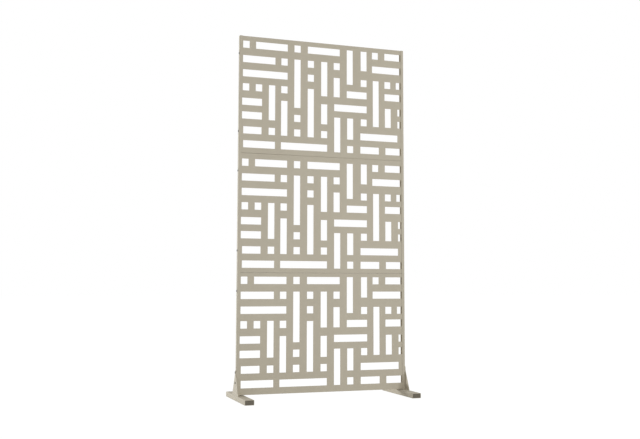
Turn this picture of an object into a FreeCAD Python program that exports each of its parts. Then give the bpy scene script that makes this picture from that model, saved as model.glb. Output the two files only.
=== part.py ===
"""Garden privacy screen: three folded panels with a slot lattice, two posts and two feet.

Millimetres. X runs along the screen, Y from front to back, Z up. The origin is on
the ground, midway between the posts and under the middle of their depth.
"""

import FreeCAD
import Part
import Sketcher
import os
from math import pi

DOC = FreeCAD.newDocument("garden_privacy_screen")
SHEET = DOC.addObject("Spreadsheet::Sheet", "sizes")

# ---------------------------------------------------------------- driving dimensions
SIZES = {
    "screen_width": 900,        # over the outer faces of the posts
    "panel_height": 600,        # from seam to seam, three panels in all
    "panel_sheet": 1.5,
    "panel_bend": 2.0,          # outer radius of the panel's folded edges
    "flange_depth": 16,         # front face to the free edge of a folded flange
    "panel_side_gap": 0.3,      # panel flange to post web
    "face_gap": 0.2,            # panel face to the back of the post's lip
    "seam_gap": 0.4,            # between two panels, and under the lowest one
    "panel_lift": 2,            # lowest seam above the feet
    "post_depth": 22,
    "lip_width": 15,            # post's outer face to the free edge of its lip
    "post_sheet": 1.5,
    "post_bend": 2.0,
    "foot_length": 400,
    "foot_width": 46,
    "foot_height": 25,
    "foot_wall": 2.0,
    "foot_corner": 3.0,
    "plug_gap": 0.2,            # plug to the inside of the foot
    "plug_recess": 1.0,         # plug's face to the end of the foot
    "plug_depth": 12,
    "plug_wall": 1.8,
    "gusset_sheet": 3.0,
    "gusset_base": 120,         # length along the foot
    "gusset_toe": 3,            # upright edge at each end of the base
    "gusset_tip_over": 10,      # tip of the gusset's tongue over its upper bolt
    "gusset_tongue": 23,        # tip of the tongue down to where the slopes start
    "bead_size": 2.5,
    "bead_end_gap": 1.0,        # weld bead to the post and to the end of the gusset
    "bolt_radius": 3.0,
    "hole_gap": 0.3,            # bolt to the wall of its hole
    "head_radius": 5.25,
    "head_crown_radius": 3.9,
    "head_rim": 1.0,
    "head_crown": 1.2,
    "socket_radius": 2.3,       # to the corners of the hexagon
    "socket_depth": 1.5,
    "bolt_end": 1.5,            # thread past the nut
    "nut_radius": 5.77,         # to the corners of the hexagon
    "nut_height": 5.0,
    "thread_gap": 0.05,
    "upper_bolt_drop": 90,      # below the top of each panel
    "lower_bolt_rise": 110,     # above the base of each panel
    "gusset_bolt_low": 62,      # above the foot
    "seam_bolt_pitch": 300,
    "slot_width": 33.6,
    "slot_height": 36.5,
    "slot_end_reach": 5.0,      # how far the last slots run on behind the right lip
    "lattice_drop_top": 0,      # how far each panel's lattice lies below the common lines
    "lattice_drop_middle": 4.1,
    "lattice_drop_bottom": -5.2,
    "cut_over": 1.0,            # how far a cutting solid runs past the sheet
}

# Lattice lines. A column line is the left side of a slot, in percent of the screen's
# width. A row line is the top of a slot, in percent of the panel's height, downwards.
COLUMNS = {
    "a": 1.98, "a_outer": 1.56, "a_inner": 2.49,
    "b": 9.46, "b_near": 9.27,
    "c": 17.13, "d": 24.38, "e": 32.13, "f": 40.18, "g": 48.33,
    "h": 56.01, "h_far": 56.34,
    "i": 64.09, "i_far": 64.31,
    "j": 72.80, "j_near": 72.53,
    "k": 79.98, "k_far": 80.44,
    "l": 87.90, "l_far": 88.11, "l_last": 88.36,
    "m": 95.20, "m_near": 92.33, "m_far": 96.12,
}
ROWS = {
    "one": 4.17,
    "two": 16.58, "two_high": 15.60,
    "three": 28.80, "three_low": 29.78,
    "four": 40.78, "four_low": 41.33,
    "five": 53.17, "five_high": 52.70, "five_low": 53.47, "five_last": 53.92,
    "six": 64.88, "six_low": 65.42,
    "seven": 77.47,
    "eight": 89.27,
}

# Slots of one panel: first column, last column, first row, last row. A slot with the
# last column "end" runs on to the right end of the lattice.
SLOTS = [
    ("a", "a", "one", "one"),
    ("b", "d", "one", "one"),
    ("e", "e", "one", "one"),
    ("f", "h", "one", "one"),
    ("i", "i", "one", "three"),
    ("j", "j", "one", "two_high"),
    ("k", "k", "one", "one"),
    ("l", "end", "one", "one"),
    ("a", "c", "two", "two"),
    ("d", "d", "two", "two"),
    ("e", "e", "two", "five_high"),
    ("f", "f", "two", "two"),
    ("g", "g", "two", "four"),
    ("h", "h", "two", "two"),
    ("k", "end", "two", "two"),
    ("a", "d", "three", "three"),
    ("f", "f", "three", "three"),
    ("h", "h", "three_low", "four"),
    ("j", "j", "three_low", "three_low"),
    ("k_far", "k_far", "three_low", "six"),
    ("l", "l", "three_low", "three_low"),
    ("m", "end", "three_low", "three_low"),
    ("a", "a", "four", "four"),
    ("b", "b", "four", "four"),
    ("c", "c", "four", "six"),
    ("d", "d", "four", "four"),
    ("f", "f", "four_low", "seven"),
    ("i", "j", "four", "four"),
    ("l", "end", "four", "four"),
    ("a_outer", "b", "five", "five"),
    ("d", "d", "five_low", "seven"),
    ("h_far", "j", "five", "five"),
    ("g", "g", "five_last", "six_low"),
    ("l_far", "l_far", "five_last", "six"),
    ("m_far", "end", "five_last", "five_last"),
    ("a_outer", "b", "six", "six"),
    ("e", "e", "six", "six"),
    ("h_far", "h_far", "six", "eight"),
    ("i_far", "i_far", "six", "seven"),
    ("j", "j", "six", "six"),
    ("m_far", "end", "six", "six"),
    ("a_inner", "b_near", "seven", "seven"),
    ("c", "c", "seven", "seven"),
    ("e", "e", "seven", "seven"),
    ("g", "g", "seven", "seven"),
    ("j_near", "m_near", "seven", "seven"),
    ("a_inner", "c", "eight", "eight"),
    ("d", "g", "eight", "eight"),
    ("i_far", "i_far", "eight", "eight"),
    ("j_near", "k_far", "eight", "eight"),
    ("l_last", "end", "eight", "eight"),
]

PANELS = ("top", "middle", "bottom")
SEAMS = ("upper", "lower")


def fill_sheet():
    """Write every driving dimension into the sheet under its own name."""
    rows = dict(SIZES)
    rows.update({f"column_{name}": value for name, value in COLUMNS.items()})
    rows.update({f"row_{name}": value for name, value in ROWS.items()})
    for number, (alias, value) in enumerate(rows.items(), start=1):
        SHEET.set(f"A{number}", alias)
        SHEET.set(f"B{number}", str(value))
        SHEET.setAlias(f"B{number}", alias)
    DOC.recompute()


def cell(formula):
    """Put the sheet's name before each of its aliases in a formula."""
    words = []
    for word in formula.replace("(", " ( ").replace(")", " ) ").split():
        known = word in SIZES or word.startswith(("column_", "row_"))
        words.append(f"sizes.{word}" if known else word)
    return " ".join(words)


def bind(item, **formulas):
    """Bind properties of an object to formulas of the sheet's aliases."""
    for name, formula in formulas.items():
        item.setExpression(name, cell(formula))


def place(item, x="0", y="0", z="0"):
    """Bind the three coordinates of an object's place."""
    for axis, formula in (("x", x), ("y", y), ("z", z)):
        item.setExpression(f"Placement.Base.{axis}", cell(formula))


# ------------------------------------------------------------------- derived places
POST_OUTSIDE = "( screen_width / 2 )"
FACE_Y = "( 0 - post_depth / 2 + post_sheet + face_gap )"
PANEL_HALF = "( screen_width / 2 - post_sheet - panel_side_gap )"
POST_HEIGHT = f"( panel_lift + {len(PANELS)} * panel_height )"
FLANGE_INSIDE = f"( {PANEL_HALF} - panel_sheet )"
LATTICE_END = "( screen_width / 2 - lip_width + slot_end_reach )"
GUSSET_OUTSIDE = f"( {POST_OUTSIDE} + gusset_sheet )"
HOLE_RADIUS = "( bolt_radius + hole_gap )"
GUSSET_HEIGHT = "( panel_lift + lower_bolt_rise + gusset_tip_over )"


def panel_base(index):
    """Height of the lower seam of a panel, counted from the top."""
    return f"( foot_height + panel_lift + {len(PANELS) - 1 - index} * panel_height )"


def panel_top(index):
    """Height of the upper seam of a panel, counted from the top."""
    return f"( foot_height + panel_lift + {len(PANELS) - index} * panel_height )"


def side_bolt_heights():
    """Heights of the two bolts at each side of each panel, from the top down."""
    heights = []
    for index in range(len(PANELS)):
        heights.append(f"( {panel_top(index)} - upper_bolt_drop )")
        heights.append(f"( {panel_base(index)} + lower_bolt_rise )")
    return heights


POST_BOLTS = side_bolt_heights()[:-1]
GUSSET_BOLTS = [side_bolt_heights()[-1], "( foot_height + gusset_bolt_low )"]
SEAM_PLACES = ["( 0 - seam_bolt_pitch )", "0", "seam_bolt_pitch"]


# ------------------------------------------------------------------ shared builders
def near(value, target):
    """Tell whether two coordinates are the same."""
    return abs(value - target) < 1e-4


def block(body, name, length, width, height):
    """Start a body with a block whose three sizes are bound."""
    solid = body.newObject("PartDesign::AdditiveBox", name)
    bind(solid, Length=length, Width=width, Height=height)
    DOC.recompute()
    return solid


def edges_where(shape, test):
    """Names of the edges whose vertices all pass a test."""
    names = []
    for number, edge in enumerate(shape.Edges, start=1):
        if all(test(vertex.Point) for vertex in edge.Vertexes):
            names.append(f"Edge{number}")
    return names


def faces_where(shape, test):
    """Names of the faces whose vertices all pass a test."""
    names = []
    for number, face in enumerate(shape.Faces, start=1):
        if all(test(vertex.Point) for vertex in face.Vertexes):
            names.append(f"Face{number}")
    return names


def edges_along_y(shape, length):
    """Names of the edges of one length that run from front to back."""
    names = []
    for number, edge in enumerate(shape.Edges, start=1):
        if near(edge.Length, length) and near(abs(edge.tangentAt(edge.FirstParameter).y), 1):
            names.append(f"Edge{number}")
    return names


def rounded(body, base, edges, radius):
    """Round the named edges of a body's last feature."""
    fillet = body.newObject("PartDesign::Fillet", f"{body.Name}_bend")
    fillet.Base = (base, edges)
    bind(fillet, Radius=radius)
    DOC.recompute()
    return fillet


def hollowed(body, base, faces, wall):
    """Open a body at the named faces and leave a wall inside its other faces."""
    shell = body.newObject("PartDesign::Thickness", f"{body.Name}_wall")
    shell.Base = (base, faces)
    shell.Reversed = True
    bind(shell, Value=wall)
    DOC.recompute()
    return shell


def rod(name, radius, height, x, y, z, axis="z"):
    """A cylinder along X or Z from the given point."""
    item = DOC.addObject("Part::Cylinder", name)
    bind(item, Radius=radius, Height=height)
    if axis == "x":
        item.Placement.Rotation = FreeCAD.Rotation(FreeCAD.Vector(0, 1, 0), 90)
    place(item, x, y, z)
    return item


def together(label, members):
    """Several solids as one object."""
    group = DOC.addObject("Part::Compound", label)
    group.Links = members
    group.Label = label
    return group


def cut(label, base, tool):
    """One solid less another."""
    result = DOC.addObject("Part::Cut", label)
    result.Base = base
    result.Tool = tool
    result.Label = label
    return result


def mirrored(label, source, normal=(1, 0, 0)):
    """The same piece on the other side of the screen's middle."""
    copy = DOC.addObject("Part::Mirroring", label)
    copy.Source = source
    copy.Normal = normal
    copy.Label = label
    return copy


def repeated(label, master, places, rotation):
    """A group of copies of one small piece, one at each place."""
    copies = []
    for number, (x, y, z) in enumerate(places, start=1):
        link = DOC.addObject("App::Link", f"{label}_{number}")
        link.LinkedObject = master
        link.Placement = FreeCAD.Placement(FreeCAD.Vector(), rotation)
        place(link, x, y, z)
        copies.append(link)
    return together(label, copies)


# --------------------------------------------------------------------------- panels
def slot_cutters(index, panel):
    """Blocks that cut one panel's lattice out of its face."""
    cutters = []
    for number, (first, last, top_row, last_row) in enumerate(SLOTS):
        left = f"( screen_width * ( column_{first} / 100 - 1 / 2 ) )"
        right = f"( screen_width * ( column_{last} / 100 - 1 / 2 ) + slot_width )"
        if last == "end":
            right = LATTICE_END
        top = f"( {panel_top(index)} - lattice_drop_{panel} - panel_height * row_{top_row} / 100 )"
        low = f"( {panel_top(index)} - lattice_drop_{panel} - panel_height * row_{last_row} / 100 - slot_height )"
        slot = DOC.addObject("Part::Box", f"{panel}_slot_{number}")
        bind(slot, Length=f"{right} - {left}", Width="panel_sheet + 2 * cut_over", Height=f"{top} - {low}")
        place(slot, left, f"{FACE_Y} - cut_over", low)
        cutters.append(slot)
    return cutters


def panel_holes(index, panel):
    """Rods that cut the bolt holes through one panel's flanges."""
    heights = side_bolt_heights()[2 * index:2 * index + 2]
    if index == len(PANELS) - 1:
        heights.append(GUSSET_BOLTS[-1])
    rods = []
    for number, height in enumerate(heights):
        name = f"{panel}_side_hole_{number}"
        rods.append(rod(name, HOLE_RADIUS, "screen_width", f"0 - {POST_OUTSIDE}", "0", height, axis="x"))
    seams = []
    if index > 0:
        seams.append(panel_top(index))
    if index < len(PANELS) - 1:
        seams.append(panel_base(index))
    length = "2 * ( panel_sheet + seam_gap + cut_over )"
    for number, seam in enumerate(seams):
        for spot, x in enumerate(SEAM_PLACES):
            name = f"{panel}_seam_hole_{number}_{spot}"
            low = f"{seam} - ( panel_sheet + seam_gap + cut_over )"
            rods.append(rod(name, HOLE_RADIUS, length, x, "0", low))
    return rods


def make_panel(index, panel):
    """A tray folded back at its four sides, with the lattice cut through its face."""
    body = DOC.addObject("PartDesign::Body", f"{panel}_tray")
    height = "panel_height - seam_gap"
    plate = block(body, f"{panel}_blank", f"2 * {PANEL_HALF}", "flange_depth", height)
    rounded(body, plate, edges_where(plate.Shape, lambda point: near(point.y, 0)), "panel_bend")
    depth = plate.Width.Value
    bent = body.Tip
    back = faces_where(bent.Shape, lambda point: near(point.y, depth))
    hollowed(body, bent, back, "panel_sheet")
    place(body, f"0 - {PANEL_HALF}", FACE_Y, f"{panel_base(index)} + seam_gap / 2")
    cutters = slot_cutters(index, panel) + panel_holes(index, panel)
    return cut(f"panel_{panel}", body, together(f"{panel}_cutters", cutters))


# ------------------------------------------------------- posts, feet and their joints
def make_post():
    """The left post: a channel open towards the panels."""
    body = DOC.addObject("PartDesign::Body", "left_channel")
    bar = block(body, "left_channel_blank", "lip_width", "post_depth", POST_HEIGHT)
    tall, wide = bar.Height.Value, bar.Length.Value
    upright = edges_where(bar.Shape, lambda point: near(point.x, 0))
    upright = [name for name in upright if near(bar.Shape.getElement(name).Length, tall)]
    rounded(body, bar, upright, "post_bend")
    bent = body.Tip
    openings = faces_where(bent.Shape, lambda point: near(point.x, wide))
    openings += faces_where(bent.Shape, lambda point: near(point.z, 0))
    openings += faces_where(bent.Shape, lambda point: near(point.z, tall))
    hollowed(body, bent, openings, "post_sheet")
    place(body, f"0 - {POST_OUTSIDE}", "0 - post_depth / 2", "foot_height")
    rods = []
    for number, height in enumerate(POST_BOLTS + GUSSET_BOLTS):
        start = f"0 - {POST_OUTSIDE} - cut_over"
        length = "post_sheet + 2 * cut_over"
        rods.append(rod(f"post_hole_{number}", HOLE_RADIUS, length, start, "0", height, axis="x"))
    return cut("post_left", body, together("post_hole_rods", rods))


def make_foot():
    """The left foot: a tube from front to back, open at both ends."""
    body = DOC.addObject("PartDesign::Body", "left_tube")
    bar = block(body, "left_tube_blank", "foot_width", "foot_length", "foot_height")
    length = bar.Width.Value
    rounded(body, bar, edges_along_y(bar.Shape, length), "foot_corner")
    bent = body.Tip
    ends = faces_where(bent.Shape, lambda point: near(point.y, 0))
    ends += faces_where(bent.Shape, lambda point: near(point.y, length))
    hollowed(body, bent, ends, "foot_wall")
    place(body, f"0 - {GUSSET_OUTSIDE}", "0 - foot_length / 2", "0")
    body.Label = "foot_tube_left"
    return body


def make_plugs():
    """Plugs in both ends of the left foot: closed outwards, hollow inwards."""
    body = DOC.addObject("PartDesign::Body", "left_plug")
    margin = "2 * ( foot_wall + plug_gap )"
    bar = block(body, "left_plug_blank", f"foot_width - {margin}", "plug_depth", f"foot_height - {margin}")
    depth = bar.Width.Value
    inside = faces_where(bar.Shape, lambda point: near(point.y, depth))
    cup = hollowed(body, bar, inside, "plug_wall")
    rounded(body, cup, edges_along_y(cup.Shape, depth), "foot_corner - foot_wall + plug_gap")
    place(body, f"0 - {GUSSET_OUTSIDE} + foot_wall + plug_gap", "0 - foot_length / 2 + plug_recess",
          "foot_wall + plug_gap")
    return together("foot_plugs_left", [body, mirrored("left_plug_back", body, (0, 1, 0))])


def fix_point(sketch, name, spot, x, y):
    """Bind the two coordinates of a sketch point to formulas."""
    drawn = sketch.getPoint(*spot)
    for kind, formula, axis, value in (("DistanceX", x, -2, drawn.x), ("DistanceY", y, -1, drawn.y)):
        if formula is None:
            continue
        if formula == "0":
            sketch.addConstraint(Sketcher.Constraint("PointOnObject", *spot, axis))
            continue
        number = sketch.addConstraint(Sketcher.Constraint(kind, -1, 1, *spot, value))
        sketch.renameConstraint(number, f"{name}_{kind[-1].lower()}")
        sketch.setExpression(f"Constraints.{name}_{kind[-1].lower()}", cell(formula))


def make_gusset():
    """The left gusset plate: wide on the foot, with a round-topped tongue on the post."""
    base, toe, half = SIZES["gusset_base"] / 2, SIZES["gusset_toe"], SIZES["post_depth"] / 2
    upper_bolt = SIZES["panel_lift"] + SIZES["lower_bolt_rise"]
    height = upper_bolt + SIZES["gusset_tip_over"]
    shoulder, centre = height - SIZES["gusset_tongue"], height - half
    body = DOC.addObject("PartDesign::Body", "left_plate")
    plane = next(item for item in body.Origin.OriginFeatures if item.Role == "YZ_Plane")
    sketch = body.newObject("Sketcher::SketchObject", "left_plate_outline")
    sketch.AttachmentSupport = (plane, [""])
    sketch.MapMode = "FlatFace"
    corners = [(-base, 0), (base, 0), (base, toe), (half, shoulder), (half, centre),
               (-half, centre), (-half, shoulder), (-base, toe)]
    tongue_side = 4
    for number, corner in enumerate(corners):
        if number == tongue_side:
            circle = Part.Circle(FreeCAD.Vector(0, centre), FreeCAD.Vector(0, 0, 1), half)
            sketch.addGeometry(Part.ArcOfCircle(circle, 0, pi))
        else:
            following = corners[(number + 1) % len(corners)]
            sketch.addGeometry(Part.LineSegment(FreeCAD.Vector(*corner), FreeCAD.Vector(*following)))
    for number in range(len(corners)):
        sketch.addConstraint(Sketcher.Constraint("Coincident", number, 2, (number + 1) % len(corners), 1))
    side = "( post_depth / 2 )"
    centre_height = f"( {GUSSET_HEIGHT} - {side} )"
    shoulder_height = f"( {GUSSET_HEIGHT} - gusset_tongue )"
    places = [("0 - gusset_base / 2", "0"), ("gusset_base / 2", "0"),
              ("gusset_base / 2", "gusset_toe"), (side, shoulder_height),
              (side, centre_height), (f"0 - {side}", centre_height),
              (f"0 - {side}", shoulder_height), ("0 - gusset_base / 2", "gusset_toe")]
    for number, (x, y) in enumerate(places):
        fix_point(sketch, f"corner_{number}", (number, 1), x, y)
    fix_point(sketch, "tongue_centre", (tongue_side, 3), None, centre_height)
    hole_radius = SIZES["bolt_radius"] + SIZES["hole_gap"]
    drawn = (upper_bolt, SIZES["gusset_bolt_low"])
    for number, (bolt_height, drawn_height) in enumerate(zip(GUSSET_BOLTS, drawn)):
        spot = FreeCAD.Vector(0, drawn_height)
        hole = sketch.addGeometry(Part.Circle(spot, FreeCAD.Vector(0, 0, 1), hole_radius))
        fix_point(sketch, f"hole_{number}", (hole, 3), "0", f"{bolt_height} - foot_height")
        radius = sketch.addConstraint(Sketcher.Constraint("Radius", hole, hole_radius))
        sketch.renameConstraint(radius, f"hole_{number}_radius")
        sketch.setExpression(f"Constraints.hole_{number}_radius", cell(HOLE_RADIUS))
    pad = body.newObject("PartDesign::Pad", "left_plate_pad")
    pad.Profile = sketch
    bind(pad, Length="gusset_sheet")
    place(body, f"0 - {GUSSET_OUTSIDE}", "0", "foot_height")
    body.Label = "gusset_plate_left"
    return body


def make_beads():
    """Weld beads along the left gusset's foot, in front of and behind the post."""
    beads = []
    length = "gusset_base / 2 - post_depth / 2 - 2 * bead_end_gap"
    for name, start in (("front", f"0 - post_depth / 2 - bead_end_gap - ( {length} )"),
                        ("back", "post_depth / 2 + bead_end_gap")):
        bead = DOC.addObject("Part::Cylinder", f"bead_{name}")
        bead.Angle = 90
        # the quarter round lies along Y with its flat sides on the plate and on the foot
        bead.Placement.Rotation = FreeCAD.Rotation(FreeCAD.Vector(0, 0, 1), FreeCAD.Vector(1, 0, 0),
                                                   FreeCAD.Vector(0, 1, 0), "ZXY")
        bind(bead, Radius="bead_size", Height=length)
        place(bead, f"0 - {POST_OUTSIDE}", start, "foot_height")
        beads.append(bead)
    return together("weld_bead_left", beads)


# ------------------------------------------------------------------------- fasteners
def make_bolt(name, grip):
    """A low-headed bolt: head up from Z 0, shank down through the grip and the nut."""
    shank_length = f"( {grip} + nut_height + bolt_end )"
    shank = rod(f"{name}_shank", "bolt_radius", shank_length, "0", "0", f"0 - {shank_length}")
    rim = rod(f"{name}_rim", "head_radius", "head_rim", "0", "0", "0")
    crown = DOC.addObject("Part::Cone", f"{name}_crown")
    bind(crown, Radius1="head_radius", Radius2="head_crown_radius", Height="head_crown")
    place(crown, z="head_rim")
    whole = DOC.addObject("Part::MultiFuse", f"{name}_solid")
    whole.Shapes = [shank, rim, crown]
    whole.Refine = True
    socket = DOC.addObject("Part::Prism", f"{name}_socket")
    socket.Polygon = 6
    bind(socket, Circumradius="socket_radius", Height="socket_depth + cut_over")
    place(socket, z="head_rim + head_crown - socket_depth")
    return cut(name, whole, socket)


def make_nut(name):
    """A hexagon nut hanging down from Z 0."""
    hexagon = DOC.addObject("Part::Prism", f"{name}_hexagon")
    hexagon.Polygon = 6
    bind(hexagon, Circumradius="nut_radius", Height="nut_height")
    place(hexagon, z="0 - nut_height")
    bore = rod(f"{name}_bore", "bolt_radius + thread_gap", "nut_height + 2 * cut_over",
               "0", "0", "0 - nut_height - cut_over")
    return cut(name, hexagon, bore)


def make_fasteners():
    """All groups of bolts and nuts."""
    upright = FreeCAD.Rotation()
    to_left = FreeCAD.Rotation(FreeCAD.Vector(0, 1, 0), -90)
    side_grip = "post_sheet + panel_side_gap + panel_sheet"
    side_bolt = make_bolt("side_bolt", side_grip)
    gusset_bolt = make_bolt("gusset_bolt", f"{side_grip} + gusset_sheet")
    seam_bolt = make_bolt("seam_bolt", "seam_gap + 2 * panel_sheet")
    nut = make_nut("nut")
    nodes = []
    for kind, master, seat, heights in (("side", side_bolt, POST_OUTSIDE, POST_BOLTS),
                                        ("gusset", gusset_bolt, GUSSET_OUTSIDE, GUSSET_BOLTS)):
        heads = [(f"0 - {seat}", "0", height) for height in heights]
        ends = [(f"0 - {FLANGE_INSIDE}", "0", height) for height in heights]
        for part, piece, places in (("bolts", master, heads), ("nuts", nut, ends)):
            left = repeated(f"{kind}_{part}_left", piece, places, to_left)
            nodes += [left, mirrored(f"{kind}_{part}_right", left)]
    for index, seam in enumerate(SEAMS):
        level = panel_base(index)
        heads = [(x, "0", f"{level} + seam_gap / 2 + panel_sheet") for x in SEAM_PLACES]
        ends = [(x, "0", f"{level} - seam_gap / 2 - panel_sheet") for x in SEAM_PLACES]
        nodes.append(repeated(f"seam_bolts_{seam}", seam_bolt, heads, upright))
        nodes.append(repeated(f"seam_nuts_{seam}", nut, ends, upright))
    return nodes


# ------------------------------------------------------------------------------ main
def make_all():
    """Build every sub-part and return the objects to be written."""
    fill_sheet()
    nodes = [make_panel(index, panel) for index, panel in enumerate(PANELS)]
    for left, name in ((make_post(), "post"), (make_foot(), "foot_tube"), (make_plugs(), "foot_plugs"),
                       (make_gusset(), "gusset_plate"), (make_beads(), "weld_bead")):
        nodes += [left, mirrored(f"{name}_right", left)]
    nodes += make_fasteners()
    DOC.recompute()
    return nodes


def write_all(nodes):
    """Check the document and write one file per sub-part."""
    for item in DOC.Objects:
        if "Invalid" in item.State or "Error" in item.State:
            raise RuntimeError(f"{item.Label} failed: {item.State}")
    os.makedirs("parts", exist_ok=True)
    for node in nodes:
        if node.Shape.isNull() or not node.Shape.isValid():
            raise RuntimeError(f"{node.Label} has no valid shape")
        node.Shape.exportStep(f"parts/{node.Label}.step")


write_all(make_all())
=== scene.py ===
"""Garden privacy screen: finishes, machined fasteners, weld beads, studio and camera.

Everything is in metres in the frame's own axes: X along the screen, Y from its face to
its back, Z up from the ground.
"""

import logging
from dataclasses import dataclass
from enum import Enum
from typing import Iterable, Sequence, Union

import bmesh
import bpy
import numpy as np
from mathutils import Matrix, Vector


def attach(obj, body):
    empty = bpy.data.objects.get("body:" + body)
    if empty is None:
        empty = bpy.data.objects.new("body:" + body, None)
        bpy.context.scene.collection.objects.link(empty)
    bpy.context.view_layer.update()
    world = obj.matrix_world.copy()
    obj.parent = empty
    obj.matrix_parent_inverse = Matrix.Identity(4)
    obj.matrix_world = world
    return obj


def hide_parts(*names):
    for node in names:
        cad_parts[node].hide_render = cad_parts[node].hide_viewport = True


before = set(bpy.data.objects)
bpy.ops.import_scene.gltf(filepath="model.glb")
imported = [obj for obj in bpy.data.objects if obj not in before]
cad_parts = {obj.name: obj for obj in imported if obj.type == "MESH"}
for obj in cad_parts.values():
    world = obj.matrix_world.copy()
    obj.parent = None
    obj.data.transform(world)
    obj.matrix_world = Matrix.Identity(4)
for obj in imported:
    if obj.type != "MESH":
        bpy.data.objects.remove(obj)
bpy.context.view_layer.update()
LOG = logging.getLogger("privacy_screen")
ROOT_BODY = "root"
MM = 0.001

Colour = tuple[float, float, float]
Point = tuple[float, float, float]
Number = Union[int, float]


# --------------------------------------------------------------------------- shaders
# The colour sockets of a Mix node: its inputs are the factor and the two colours.
MIX_COLOUR_INPUTS = (0, 6, 7)
MIX_COLOUR_OUTPUT = 2


class Wire:
    """A shader value that takes part in Python arithmetic.

    Each operator adds one Math node, so ``1 - mask * 0.5`` reads as it would on paper.
    """

    def __init__(self, graph: "Graph", socket: bpy.types.NodeSocket) -> None:
        """Keep the graph and the output socket that carries the value."""
        self.graph = graph
        self.socket = socket

    def _math(self, operation: str, *values: Union["Wire", Number], clamp: bool = False) -> "Wire":
        """Add one Math node.

        Args:
            operation: the Math node's operation.
            values: its inputs in order, wires or plain numbers.
            clamp: whether the result is kept between 0 and 1.

        Returns:
            The result as a wire.
        """
        settings = {"operation": operation, "use_clamp": clamp}
        return self.graph.node("ShaderNodeMath", settings, dict(enumerate(values))).out(0)

    def __add__(self, other: Union["Wire", Number]) -> "Wire":
        """Sum."""
        return self._math("ADD", self, other)

    __radd__ = __add__

    def __mul__(self, other: Union["Wire", Number]) -> "Wire":
        """Product."""
        return self._math("MULTIPLY", self, other)

    __rmul__ = __mul__

    def __sub__(self, other: Union["Wire", Number]) -> "Wire":
        """Difference."""
        return self._math("SUBTRACT", self, other)

    def __rsub__(self, other: Number) -> "Wire":
        """Difference from a plain number."""
        return self._math("SUBTRACT", other, self)

    def __truediv__(self, other: Union["Wire", Number]) -> "Wire":
        """Quotient."""
        return self._math("DIVIDE", self, other)

    def clamp(self) -> "Wire":
        """Keep the value between 0 and 1."""
        return self._math("ADD", self, 0.0, clamp=True)

    def above(self, low: float, high: float) -> "Wire":
        """Rise in a straight line from 0 at low to 1 at high, flat beyond both."""
        return ((self - low) / (high - low)).clamp()


class Step:
    """One node of a graph, with its outputs as wires."""

    def __init__(self, graph: "Graph", node: bpy.types.Node) -> None:
        """Keep the graph and the node."""
        self.graph = graph
        self.node = node

    def out(self, name: Union[str, int]) -> Wire:
        """The named or numbered output as a wire."""
        return Wire(self.graph, self.node.outputs[name])


class Graph:
    """A material's or a world's node tree."""

    def __init__(self, tree: bpy.types.NodeTree) -> None:
        """Start an empty tree."""
        self.tree = tree
        self.tree.nodes.clear()

    def node(self, kind: str, settings: dict, inputs: dict) -> Step:
        """Add one node.

        Args:
            kind: the node's Blender type.
            settings: its properties, set before the inputs.
            inputs: socket name or number to a wire or a plain value.

        Returns:
            The node as a step.
        """
        node = self.tree.nodes.new(kind)
        for name, value in settings.items():
            setattr(node, name, value)
        for name, value in inputs.items():
            if isinstance(value, Wire):
                self.tree.links.new(value.socket, node.inputs[name])
            else:
                node.inputs[name].default_value = value
        return Step(self, node)

    def place(self) -> Wire:
        """A point's place in the frame."""
        return self.node("ShaderNodeTexCoord", {}, {}).out("Object")

    def axes(self, vector: Wire) -> tuple[Wire, Wire, Wire]:
        """The three coordinates of a vector."""
        parts = self.node("ShaderNodeSeparateXYZ", {}, {0: vector})
        return parts.out("X"), parts.out("Y"), parts.out("Z")

    def noise(self, place: Wire, scale: float, detail: float = 2.0,
              stretch: Point = (1, 1, 1)) -> Wire:
        """Cloudy noise between 0 and 1.

        Args:
            place: where the noise is read.
            scale: features per metre.
            detail: octaves.
            stretch: factor on each axis, below 1 for longer features.

        Returns:
            The noise as a wire.
        """
        spot = self.node("ShaderNodeMapping", {}, {"Vector": place, "Scale": stretch}).out(0)
        return self.node("ShaderNodeTexNoise", {}, {"Vector": spot, "Scale": scale, "Detail": detail}).out(0)

    def blend(self, factor: Union[Wire, float], first: Union[Wire, Colour],
              second: Union[Wire, Colour]) -> Wire:
        """A colour between two colours."""
        pair = [value if isinstance(value, Wire) else (*value, 1.0) for value in (first, second)]
        inputs = dict(zip(MIX_COLOUR_INPUTS, (factor, *pair)))
        return self.node("ShaderNodeMix", {"data_type": "RGBA"}, inputs).out(MIX_COLOUR_OUTPUT)

    def bump(self, height: Wire, distance: float, strength: float, under: Union[Wire, None] = None) -> Wire:
        """A normal bent by a height.

        Args:
            height: the height, 0 to 1.
            distance: what a height of 1 means, in metres.
            strength: how much of it shows.
            under: a coarser normal that this one adds to.

        Returns:
            The normal as a wire.
        """
        inputs = {"Height": height, "Distance": distance, "Strength": strength}
        if under is not None:
            inputs["Normal"] = under
        return self.node("ShaderNodeBump", {}, inputs).out(0)

    def surface(self, inputs: dict) -> None:
        """End the tree with a Principled BSDF that has these inputs."""
        shader = self.node("ShaderNodeBsdfPrincipled", {}, inputs).out(0)
        self.node("ShaderNodeOutputMaterial", {}, {"Surface": shader})


def new_material(name: str) -> tuple[bpy.types.Material, Graph]:
    """A material and its empty graph."""
    material = bpy.data.materials.new(name)
    material.use_nodes = True
    return material, Graph(material.node_tree)


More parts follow.
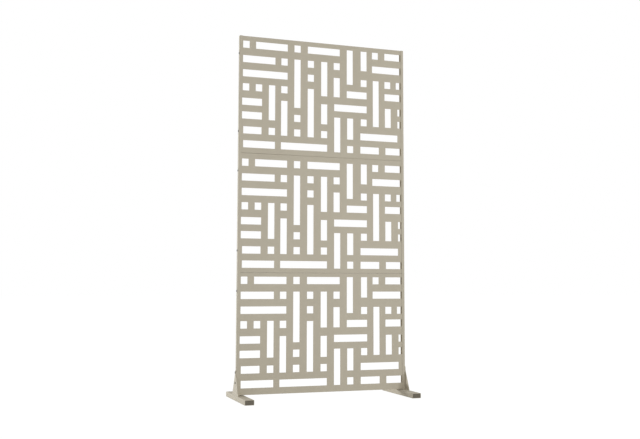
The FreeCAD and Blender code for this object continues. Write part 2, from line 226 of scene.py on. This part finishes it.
# -------------------------------------------------------------------------- finishes
@dataclass(frozen=True)
class PowderCoat:
    """Matte grey-beige powder coat on sheet metal.

    Attributes:
        colour: the coat's colour.
        shade: the same colour where the coat lies a little thinner.
        dust: pale dust that settles on faces near the ground.
        dust_height: how far up the dust reaches, in metres.
        roughness: the middle of the roughness.
        cloud: features of the slow change in thickness per metre.
        streak: features of the faint upright streaks per metre.
        texture: features of the fine coat texture per metre.
        peel: features of the slow orange-peel waves per metre.
    """

    colour: Colour = (0.525, 0.478, 0.378)
    shade: Colour = (0.495, 0.449, 0.353)
    dust: Colour = (0.570, 0.530, 0.435)
    dust_height: float = 0.10
    roughness: float = 0.56
    cloud: float = 3.0
    streak: float = 14.0
    texture: float = 1400.0
    peel: float = 190.0

    def material(self, name: str) -> bpy.types.Material:
        """Build the coat as a material of this name."""
        material, graph = new_material(name)
        place = graph.place()
        height = graph.axes(place)[2]
        facing = graph.axes(graph.node("ShaderNodeNewGeometry", {}, {}).out("Normal"))[2]
        clouds = graph.noise(place, self.cloud, 3.0)
        streaks = graph.noise(place, self.streak, 2.0, (1, 1, 0.06))
        speckle = graph.noise(place, self.texture, 1.0)
        peel = graph.noise(place, self.peel, 2.0)
        thin = (clouds * 0.6 + streaks * 0.4).above(0.35, 0.65)
        coat = graph.blend(thin * 0.75 + speckle * 0.25, self.shade, self.colour)
        settled = (1 - height.above(0.0, self.dust_height)) * facing.above(0.2, 0.9) * clouds.above(0.3, 0.7)
        colour = graph.blend(settled * 0.6, coat, self.dust)
        roughness = self.roughness + (speckle - 0.5) * 0.12 + settled * 0.15
        waves = graph.bump(peel, 0.05 * MM, 0.35)
        normal = graph.bump(speckle, 0.02 * MM, 0.45, waves)
        graph.surface({"Base Color": colour, "Roughness": roughness, "Normal": normal,
                       "Specular IOR Level": 0.35})
        return material


@dataclass(frozen=True)
class BlackOxide:
    """Dark oxide finish of the bolts, worn a little brighter in patches.

    Attributes:
        colour: the dark oxide.
        worn: where the oxide has rubbed thin.
        patch: rubbed patches per metre.
        grain: features of the fine grain per metre.
    """

    colour: Colour = (0.050, 0.045, 0.038)
    worn: Colour = (0.120, 0.110, 0.095)
    patch: float = 420.0
    grain: float = 2600.0

    def material(self, name: str) -> bpy.types.Material:
        """Build the oxide as a material of this name."""
        material, graph = new_material(name)
        place = graph.place()
        patches = graph.noise(place, self.patch, 3.0).above(0.45, 0.75)
        grain = graph.noise(place, self.grain, 2.0)
        colour = graph.blend(patches * 0.6, self.colour, self.worn)
        roughness = 0.42 + grain * 0.16 - patches * 0.08
        normal = graph.bump(grain, 0.01 * MM, 0.4)
        graph.surface({"Base Color": colour, "Metallic": 0.7, "Roughness": roughness, "Normal": normal})
        return material


@dataclass(frozen=True)
class ZincPlate:
    """Bright zinc plating of the nuts, with a faint yellow passivation.

    Attributes:
        colour: the clean zinc.
        passivated: where the passivation is thicker.
        stain: features of the passivation per metre.
        turned: features of the turning marks per metre.
    """

    colour: Colour = (0.62, 0.62, 0.60)
    passivated: Colour = (0.56, 0.53, 0.44)
    stain: float = 300.0
    turned: float = 1800.0

    def material(self, name: str) -> bpy.types.Material:
        """Build the plating as a material of this name."""
        material, graph = new_material(name)
        place = graph.place()
        stain = graph.noise(place, self.stain, 3.0).above(0.4, 0.7)
        turned = graph.noise(place, self.turned, 2.0, (0.1, 1, 1))
        colour = graph.blend(stain * 0.7, self.colour, self.passivated)
        roughness = 0.30 + turned * 0.18 + stain * 0.08
        normal = graph.bump(turned, 0.01 * MM, 0.4)
        graph.surface({"Base Color": colour, "Metallic": 1.0, "Roughness": roughness, "Normal": normal})
        return material


@dataclass(frozen=True)
class MouldedPlastic:
    """Dark taupe plastic of the plugs, with the fine grain of its mould.

    Attributes:
        colour: the plastic.
        rubbed: where handling has paled it.
        roughness: the middle of the roughness.
        patch: rubbed patches per metre.
        grain: features of the mould's grain per metre.
    """

    colour: Colour = (0.115, 0.098, 0.068)
    rubbed: Colour = (0.145, 0.125, 0.090)
    roughness: float = 0.55
    patch: float = 90.0
    grain: float = 2200.0

    def material(self, name: str) -> bpy.types.Material:
        """Build the plastic as a material of this name."""
        material, graph = new_material(name)
        place = graph.place()
        patches = graph.noise(place, self.patch, 3.0).above(0.45, 0.75)
        grain = graph.noise(place, self.grain, 2.0)
        colour = graph.blend(patches * 0.7, self.colour, self.rubbed)
        roughness = self.roughness + (grain - 0.5) * 0.2 - patches * 0.06
        normal = graph.bump(grain, 0.03 * MM, 0.5)
        graph.surface({"Base Color": colour, "Roughness": roughness, "Normal": normal})
        return material


# --------------------------------------------------------------------------- surfaces
class Facing(Enum):
    """Which way a fastener's head points, with the direction of a hexagon corner."""

    LEFT = ((-1, 0, 0), (0, 0, 1))
    RIGHT = ((1, 0, 0), (0, 0, 1))
    UP = ((0, 0, 1), (1, 0, 0))

    @property
    def axes(self) -> np.ndarray:
        """Rows: the hexagon corner's direction, the one across it, and the head's."""
        head, corner = (np.array(vector, float) for vector in self.value)
        return np.stack([corner, np.cross(head, corner), head])


def closed_skin(name: str, points: np.ndarray, loop_rows: bool) -> bpy.types.Object:
    """Turn grids of points into one mesh of closed surfaces.

    Args:
        name: the object's name.
        points: copies x rows x columns x 3. Each row is a closed ring; the first and
            last row either meet, or shrink to a point.
        loop_rows: whether the last row joins the first one.

    Returns:
        The object, with its normals pointing outwards.

    Raises:
        ValueError: if no face is left once doubled points are merged.
    """
    copies, rows, columns, _ = points.shape
    spans = rows if loop_rows else rows - 1
    row, column = np.meshgrid(np.arange(spans), np.arange(columns), indexing="ij")
    next_row, next_column = (row + 1) % rows, (column + 1) % columns
    quads = np.stack([row * columns + column, row * columns + next_column,
                      next_row * columns + next_column, next_row * columns + column], axis=-1).reshape(-1, 4)
    faces = (quads[None] + (np.arange(copies) * rows * columns)[:, None, None]).reshape(-1, 4)
    mesh = bpy.data.meshes.new(name)
    mesh.from_pydata(points.reshape(-1, 3).tolist(), [], faces.tolist())
    merge_and_orient(mesh)
    if not mesh.polygons:
        raise ValueError(f"{name} has no faces")
    piece = bpy.data.objects.new(name, mesh)
    bpy.context.scene.collection.objects.link(piece)
    return piece


def merge_and_orient(mesh: bpy.types.Mesh, distance: float = 1e-6) -> None:
    """Merge doubled points, drop faces without area and point all normals outwards."""
    work = bmesh.new()
    work.from_mesh(mesh)
    bmesh.ops.remove_doubles(work, verts=work.verts, dist=distance)
    bmesh.ops.dissolve_degenerate(work, edges=work.edges, dist=distance)
    bmesh.ops.recalc_face_normals(work, faces=work.faces)
    work.to_mesh(mesh)
    work.free()


def node_points(node: str) -> np.ndarray:
    """All mesh points of a CAD node, one per row."""
    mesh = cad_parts[node].data
    flat = np.empty(len(mesh.vertices) * 3, np.float32)
    mesh.vertices.foreach_get("co", flat)
    return flat.reshape(-1, 3).astype(float)


def piece_boxes(node: str, gap: float = 15 * MM) -> np.ndarray:
    """The box of each solid in a group that is spread out along one axis.

    Args:
        node: the group's name.
        gap: the least free space between two solids, in metres.

    Returns:
        Array of solids x 2 x 3, the lowest and the highest corner of each.
    """
    points = node_points(node)
    axis = int(np.argmax(np.ptp(points, axis=0)))
    ordered = points[np.argsort(points[:, axis])]
    breaks = np.flatnonzero(np.diff(ordered[:, axis]) > gap) + 1
    return np.array([[part.min(axis=0), part.max(axis=0)] for part in np.split(ordered, breaks)])


def hexagon_radius(angles: np.ndarray, corner: float) -> np.ndarray:
    """Distance from the axis to a hexagon's side: the half width over the cosine of
    the angle from the middle of the nearest side."""
    sixth = np.pi / 3
    return corner * np.cos(sixth / 2) / np.cos((angles % sixth) - sixth / 2)


def turned(radii: np.ndarray, depths: np.ndarray, angles: np.ndarray, facing: Facing,
           tops: np.ndarray) -> np.ndarray:
    """Place a turned surface at each of several points.

    A point lies at its radius from the axis, in the direction of its angle from the
    hexagon's corner, and at its depth below the top.

    Args:
        radii: rows x columns, distance from the axis.
        depths: rows x columns, distance below the top.
        angles: one per column.
        facing: which way the top points.
        tops: solids x 3, where the axis meets the top of each solid.

    Returns:
        Array of solids x rows x columns x 3.
    """
    local = np.stack([radii * np.cos(angles), radii * np.sin(angles), -depths], axis=-1)
    return tops[:, None, None, :] + local @ facing.axes


def top_points(boxes: np.ndarray, facing: Facing) -> np.ndarray:
    """Where the axis of each solid meets the side of its box that it faces."""
    direction = facing.axes[2]
    middle = boxes.mean(axis=1)
    half = (boxes[:, 1] - boxes[:, 0]) / 2
    return middle + half * direction


# ------------------------------------------------------------------------- fasteners
@dataclass
class LowHeadBolts:
    """Bolts with a low, softly crowned head, a hexagon socket and a cut thread.

    Attributes:
        node: the CAD group that these bolts stand for.
        facing: which way the heads point.
        shank: radius over the thread.
        pitch: distance between two turns of the thread.
        thread_depth: depth of the thread's groove.
        head_height: from the seat to the top of the crown.
        crown: radius of the crown's flat top.
        socket: radius to the corners of the socket.
        socket_depth: depth of the socket.
        edge: width of the small chamfers on the head.
        end_chamfer: width of the chamfer at the end of the thread.
        columns: points round the bolt, a multiple of six.
    """

    node: str
    facing: Facing
    shank: float = 3.0 * MM
    pitch: float = 1.0 * MM
    thread_depth: float = 0.42 * MM
    head_height: float = 2.2 * MM
    crown: float = 3.6 * MM
    socket: float = 2.3 * MM
    socket_depth: float = 1.5 * MM
    edge: float = 0.12 * MM
    end_chamfer: float = 0.45 * MM
    columns: int = 36

    def build(self, finish: bpy.types.Material) -> bpy.types.Object:
        """Make the group's bolts as one piece in the given finish."""
        boxes = piece_boxes(self.node)
        spans = boxes[0, 1] - boxes[0, 0]
        direction = np.abs(self.facing.axes[2])
        length = float(spans @ direction)
        head = float(np.delete(spans, int(np.argmax(direction))).min()) / 2
        angles = np.arange(self.columns) * 2 * np.pi / self.columns
        rings = self._head(angles, head) + self._shank(angles, length)
        radii = np.array([radius for radius, _ in rings])
        depths = np.array([depth for _, depth in rings])
        points = turned(radii, depths, angles, self.facing, top_points(boxes, self.facing))
        piece = closed_skin(f"{self.node}_turned", points, loop_rows=False)
        dress(piece, finish, self.node)
        return piece

    def _head(self, angles: np.ndarray, head: float) -> list[tuple[np.ndarray, np.ndarray]]:
        """Rings from the bottom of the socket over the crown to the seat.

        The crown is a quarter of a superellipse between its flat top and the rim.
        """
        ones = np.ones_like(angles)
        hexagon = hexagon_radius(angles, self.socket)
        mouth = self.socket + self.edge
        rings = [(0 * ones, (self.socket_depth + 0.35 * MM) * ones),
                 (hexagon * 0.98, self.socket_depth * ones),
                 (hexagon, (self.socket_depth - 0.05 * MM) * ones),
                 (hexagon, 0.15 * MM * ones),
                 (mouth * ones, 0 * ones),
                 ((mouth + 0.1 * MM) * ones, 0 * ones)]
        drop = self.head_height * 0.72
        for turn in np.linspace(0, np.pi / 2, 9):
            radius = self.crown + (head - self.crown) * np.sin(turn)
            rings.append((radius * ones, drop * (1 - np.cos(turn)) * ones))
        rings += [(head * ones, (self.head_height - self.edge) * ones),
                  ((head - self.edge) * ones, self.head_height * ones),
                  ((self.shank + self.edge) * ones, self.head_height * ones)]
        return rings

    def _shank(self, angles: np.ndarray, length: float) -> list[tuple[np.ndarray, np.ndarray]]:
        """Rings from under the head to the end of the thread.

        The groove's depth follows a triangle wave of the depth over the pitch less
        the share of a turn, which winds it into a helix, and fades out at both ends.
        """
        ones = np.ones_like(angles)
        start, end = self.head_height + 0.3 * MM, length - self.end_chamfer
        rings = [(self.shank * ones, (self.head_height + self.edge) * ones)]
        for depth in np.arange(start, end, self.pitch / 5):
            phase = (depth / self.pitch - angles / (2 * np.pi)) % 1.0
            groove = 1 - np.abs(2 * phase - 1)
            fade = np.clip(min(depth - start, end - depth) / self.pitch, 0, 1)
            rings.append((self.shank - self.thread_depth * groove * fade, depth * ones))
        rings += [(self.shank * ones, end * ones),
                  ((self.shank - self.end_chamfer) * ones, length * ones),
                  (0 * ones, length * ones)]
        return rings


@dataclass
class HexagonNuts:
    """Plain hexagon nuts, chamfered at thirty degrees on both faces.

    Attributes:
        node: the CAD group that these nuts stand for.
        facing: which way the seat points.
        corner: radius to the corners.
        bore: radius of the bore.
        ease: width of the chamfer at both ends of the bore.
        columns: points round the nut, a multiple of six.
    """

    node: str
    facing: Facing
    corner: float = 5.77 * MM
    bore: float = 3.05 * MM
    ease: float = 0.35 * MM
    columns: int = 48

    def build(self, finish: bpy.types.Material) -> bpy.types.Object:
        """Make the group's nuts as one piece in the given finish."""
        boxes = piece_boxes(self.node)
        height = float((boxes[0, 1] - boxes[0, 0]) @ np.abs(self.facing.axes[2]))
        angles = np.arange(self.columns) * 2 * np.pi / self.columns
        radii, depths = self._profile(angles, height)
        points = turned(radii, depths, angles, self.facing, top_points(boxes, self.facing))
        piece = closed_skin(f"{self.node}_cut", points, loop_rows=True)
        dress(piece, finish, self.node)
        return piece

    def _profile(self, angles: np.ndarray, height: float) -> tuple[np.ndarray, np.ndarray]:
        """Rings down the outside and up the bore.

        The outside is the smaller of the hexagon and a cone that opens from each face,
        which leaves the curved edges that a chamfered nut has.
        """
        steps = np.linspace(0, 1, 7) ** 1.6 * height * 0.2
        outside = np.concatenate([steps, [height / 2], (height - steps)[::-1]])
        washer_face = self.corner * np.cos(np.pi / 6) * 0.96
        from_face = np.minimum(outside, height - outside)
        cone = washer_face + from_face * np.sqrt(3.0)
        hexagon = hexagon_radius(angles, self.corner)
        walls = np.minimum(hexagon[None, :], cone[:, None])
        wide = self.bore + self.ease
        bore_depths = np.array([height, height - self.ease, self.ease, 0.0])
        bore_radii = np.array([wide, self.bore, self.bore, wide])
        radii = np.vstack([walls, np.repeat(bore_radii[:, None], len(angles), axis=1)])
        depths = np.concatenate([outside, bore_depths])
        return radii, np.repeat(depths[:, None], len(angles), axis=1)


@dataclass
class FilletBeads:
    """Weld beads with overlapping ripples in the corner of plate and foot.

    Attributes:
        node: the CAD pair of beads that these stand for.
        ripple: distance between two ripples.
        relief: how much of the bead's size the ripples take.
        lean: how far the middle of a ripple runs ahead of its edges.
    """

    node: str
    ripple: float = 2.4 * MM
    relief: float = 0.13
    lean: float = 1.1 * MM

    def build(self, finish: bpy.types.Material) -> bpy.types.Object:
        """Make the pair of beads as one piece in the given finish.

        One bead lies in front of the post, at negative Y, and the other behind it.
        """
        points = node_points(self.node)
        sides = (points[points[:, 1] < 0], points[points[:, 1] > 0])
        boxes = np.array([[side.min(axis=0), side.max(axis=0)] for side in sides])
        inward = -np.sign(boxes[0].mean(axis=0)[0])
        points = np.stack([self._bead(box, inward) for box in boxes])
        piece = closed_skin(f"{self.node}_rippled", points, loop_rows=False)
        dress(piece, finish, self.node)
        return piece

    def _bead(self, box: np.ndarray, inward: float) -> np.ndarray:
        """Rings of one bead along the foot.

        Across the bead a ring runs from the corner along the plate, over a quarter
        circle and back along the foot. Along it the radius falls away from each
        ripple's crest as a half cosine, and closes to nothing at both ends as a circle.
        """
        low, high = box
        size = high[2] - low[2]
        along = np.linspace(low[1], high[1], 120)
        swing = np.linspace(0, np.pi / 2, 11)
        phase = (along[:, None] + self.lean * np.sin(2 * swing)[None, :]) / self.ripple
        crest = np.abs(np.cos(np.pi * phase))
        ends = np.minimum(along - low[1], high[1] - along)[:, None] / size
        rounding = np.sqrt(1 - (1 - np.clip(ends, 0, 1)) ** 2)
        radius = size * (1 - self.relief * crest) * rounding
        corner_x = low[0] if inward > 0 else high[0]
        across = corner_x + inward * radius * np.cos(swing)
        up = low[2] + radius * np.sin(swing)
        arc = np.stack([across, np.repeat(along[:, None], len(swing), axis=1), up], axis=-1)
        corner = np.stack([np.full_like(along, corner_x), along, np.full_like(along, low[2])], axis=-1)
        return np.concatenate([corner[:, None, :], arc], axis=1)


def dress(piece: bpy.types.Object, finish: bpy.types.Material, node: str) -> None:
    """Give a new piece its finish and let it stand for its CAD node.

    Args:
        piece: the new piece, already in place.
        finish: its material.
        node: the CAD node that it replaces.
    """
    piece.data.materials.append(finish)
    piece.data.polygons.foreach_set("use_smooth", np.ones(len(piece.data.polygons), bool))
    piece.data.set_sharp_from_angle(angle=np.radians(35))
    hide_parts(node)
    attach(piece, ROOT_BODY)


# ----------------------------------------------------------- sheetwork, feet and plugs
@dataclass
class PlainPieces:
    """Pieces that keep their CAD shapes and get a finish and soft edges.

    Attributes:
        nodes: names of the pieces.
        edge: width of the soft edge.
    """

    nodes: Sequence[str]
    edge: float = 0.25 * MM

    def build(self, finish: bpy.types.Material) -> list[bpy.types.Object]:
        """Finish each piece and soften its edges."""
        return [self._finish(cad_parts[node], finish) for node in self.nodes]

    def _finish(self, piece: bpy.types.Object, finish: bpy.types.Material) -> bpy.types.Object:
        """Give one piece the finish, merged points and soft edges."""
        piece.data.materials.clear()
        piece.data.materials.append(finish)
        weld = piece.modifiers.new("merge", "WELD")
        weld.merge_threshold = 1e-5
        soft = piece.modifiers.new("soft_edge", "BEVEL")
        soft.width = self.edge
        soft.segments = 1
        soft.limit_method = "ANGLE"
        soft.angle_limit = np.radians(50)
        return piece


# ----------------------------------------------------------------------------- studio
def grey(level: float) -> tuple[float, float, float, float]:
    """A grey of this level, as an opaque colour."""
    return (level, level, level, 1.0)


@dataclass(frozen=True)
class SoftLamp:
    """A round soft lamp that points at the middle of the screen.

    Attributes:
        name: the lamp's name.
        azimuth: where it stands, in degrees from X towards Y.
        elevation: how high it stands over the aim, in degrees.
        power: in watts.
        size: diameter, in metres.
        distance: from the aim, in metres.
        aim: the point that it looks at.
    """

    name: str
    azimuth: float
    elevation: float
    power: float
    size: float = 1.6
    distance: float = 6.0
    aim: Point = (0.0, 0.0, 0.9)

    def build(self) -> None:
        """Make the lamp."""
        lamp = bpy.data.lights.new(self.name, "AREA")
        lamp.shape = "DISK"
        lamp.size = self.size
        lamp.energy = self.power
        turn, rise = np.radians(self.azimuth), np.radians(self.elevation)
        outward = Vector((np.cos(turn) * np.cos(rise), np.sin(turn) * np.cos(rise), np.sin(rise)))
        place = Vector(self.aim) + outward * self.distance
        holder = bpy.data.objects.new(self.name, lamp)
        facing = (-outward).to_track_quat("-Z", "Y").to_matrix().to_4x4()
        holder.matrix_world = Matrix.Translation(place) @ facing
        bpy.context.scene.collection.objects.link(holder)


@dataclass
class Studio:
    """White studio: floor, even light from all round and three low soft lamps.

    Attributes:
        floor_size: side of the floor, in metres.
        sky: strength of the even light.
        paper: grey of the floor that lights the screen from below.
        shadow_share: part of the seen floor's white that the screen's shadow can darken.
        glow: the rest of that white, which no shadow reaches.
        lamps: the strongest stands behind the left post, two in front.
    """

    floor_size: float = 160.0
    sky: float = 0.5
    paper: float = 0.78
    shadow_share: float = 0.14
    glow: float = 0.94
    lamps: Sequence[SoftLamp] = (SoftLamp("rear_left", 135, 4, 196),
                                 SoftLamp("front", 270, 4, 62),
                                 SoftLamp("front_right", 315, 4, 68))

    def build(self) -> None:
        """Make the floor, the world and the lamps."""
        self._world()
        self._floor()
        for lamp in self.lamps:
            lamp.build()

    def _world(self) -> None:
        """Even light, seen as plain white by the camera and in reflections."""
        world = bpy.data.worlds.new("studio")
        world.use_nodes = True
        bpy.context.scene.world = world
        graph = Graph(world.node_tree)
        strength = self._seen(graph) * (1 - self.sky) + self.sky
        white = graph.node("ShaderNodeBackground", {}, {"Color": grey(1), "Strength": strength}).out(0)
        graph.node("ShaderNodeOutputWorld", {}, {"Surface": white})

    def _seen(self, graph: Graph) -> Wire:
        """1 where the camera looks, directly, in a reflection or through glass."""
        path = graph.node("ShaderNodeLightPath", {}, {})
        rays = ("Is Camera Ray", "Is Glossy Ray", "Is Transmission Ray")
        return sum((path.out(ray) for ray in rays[1:]), path.out(rays[0])).clamp()

    def _floor(self) -> None:
        """A white floor that shows the screen's soft shadow."""
        half = self.floor_size / 2
        mesh = bpy.data.meshes.new("floor")
        corners = [(-half, -half, 0), (half, -half, 0), (half, half, 0), (-half, half, 0)]
        mesh.from_pydata(corners, [], [(0, 1, 2, 3)])
        floor = bpy.data.objects.new("floor", mesh)
        bpy.context.scene.collection.objects.link(floor)
        material, graph = new_material("white_floor")
        paper = graph.node("ShaderNodeBsdfDiffuse", {}, {"Color": grey(self.paper)}).out(0)
        shadowed = graph.node("ShaderNodeBsdfDiffuse", {}, {"Color": grey(self.shadow_share)}).out(0)
        glow = graph.node("ShaderNodeEmission", {}, {"Color": grey(1), "Strength": self.glow}).out(0)
        seen = graph.node("ShaderNodeAddShader", {}, {0: shadowed, 1: glow}).out(0)
        shader = graph.node("ShaderNodeMixShader", {}, {0: self._seen(graph), 1: paper, 2: seen}).out(0)
        graph.node("ShaderNodeOutputMaterial", {}, {"Surface": shader})
        mesh.materials.append(material)


@dataclass(frozen=True)
class PhotoCamera:
    """The camera that took the reference view, low and to the left of the screen.

    Attributes:
        place: where the camera stands.
        right: direction that runs to the right in the view.
        ahead: direction that the camera looks in.
        focal_px: focal length in pixels of the reference image.
        image_px: width and height of the reference image.
        centre_px: where the lens axis meets the image, from its top left corner.
        sensor_mm: width of the camera's sensor.
    """

    place: Point = (-1.4899, -4.4350, 0.5384)
    right: Point = (0.94109, -0.33816, 0.00018)
    ahead: Point = (0.33676, 0.93715, 0.09132)
    focal_px: float = 910.43
    image_px: tuple[int, int] = (640, 439)
    centre_px: tuple[float, float] = (342.06, 207.02)
    sensor_mm: float = 36.0

    def build(self) -> bpy.types.Object:
        """Make the camera and use it for the scene."""
        lens = bpy.data.cameras.new("photo_camera")
        width, height = self.image_px
        lens.sensor_width = self.sensor_mm
        lens.lens = self.focal_px / width * self.sensor_mm
        lens.shift_x = (width / 2 - self.centre_px[0]) / width
        lens.shift_y = (self.centre_px[1] - height / 2) / width
        lens.clip_end = 400
        ahead = Vector(self.ahead).normalized()
        right = (Vector(self.right) - Vector(self.right).project(ahead)).normalized()
        turn = Matrix((right, right.cross(ahead), -ahead)).transposed()
        camera = bpy.data.objects.new("photo_camera", lens)
        camera.matrix_world = Matrix.Translation(self.place) @ turn.to_4x4()
        bpy.context.scene.collection.objects.link(camera)
        bpy.context.scene.camera = camera
        return camera


# ------------------------------------------------------------------------------- main
SHEET_NODES = ("panel_top", "panel_middle", "panel_bottom", "post_left", "post_right",
               "foot_tube_left", "foot_tube_right", "gusset_plate_left", "gusset_plate_right")
PLUG_NODES = ("foot_plugs_left", "foot_plugs_right")
GROUPS = (("side", "left", Facing.LEFT), ("side", "right", Facing.RIGHT),
          ("gusset", "left", Facing.LEFT), ("gusset", "right", Facing.RIGHT),
          ("seam", "upper", Facing.UP), ("seam", "lower", Facing.UP))


def report(pieces: Iterable[bpy.types.Object]) -> None:
    """Log each piece with its number of faces."""
    for piece in pieces:
        LOG.info("%s: %d faces", piece.name, len(piece.data.polygons))


def main() -> None:
    """Dress the frame, then make the studio and the camera."""
    logging.basicConfig(level=logging.INFO, format="%(message)s")
    bpy.context.scene.view_settings.view_transform = "Standard"
    PhotoCamera().build()
    coat = PowderCoat().material("powder_coat")
    oxide = BlackOxide().material("black_oxide")
    zinc = ZincPlate().material("zinc_plate")
    plastic = MouldedPlastic().material("moulded_plastic")
    report(PlainPieces(SHEET_NODES).build(coat))
    report(PlainPieces(PLUG_NODES, edge=0.6 * MM).build(plastic))
    for kind, side, facing in GROUPS:
        report([LowHeadBolts(f"{kind}_bolts_{side}", facing).build(oxide),
                HexagonNuts(f"{kind}_nuts_{side}", facing).build(zinc)])
    report(FilletBeads(f"weld_bead_{side}").build(coat) for side in ("left", "right"))
    Studio().build()


if __name__ == "__main__":
    main()
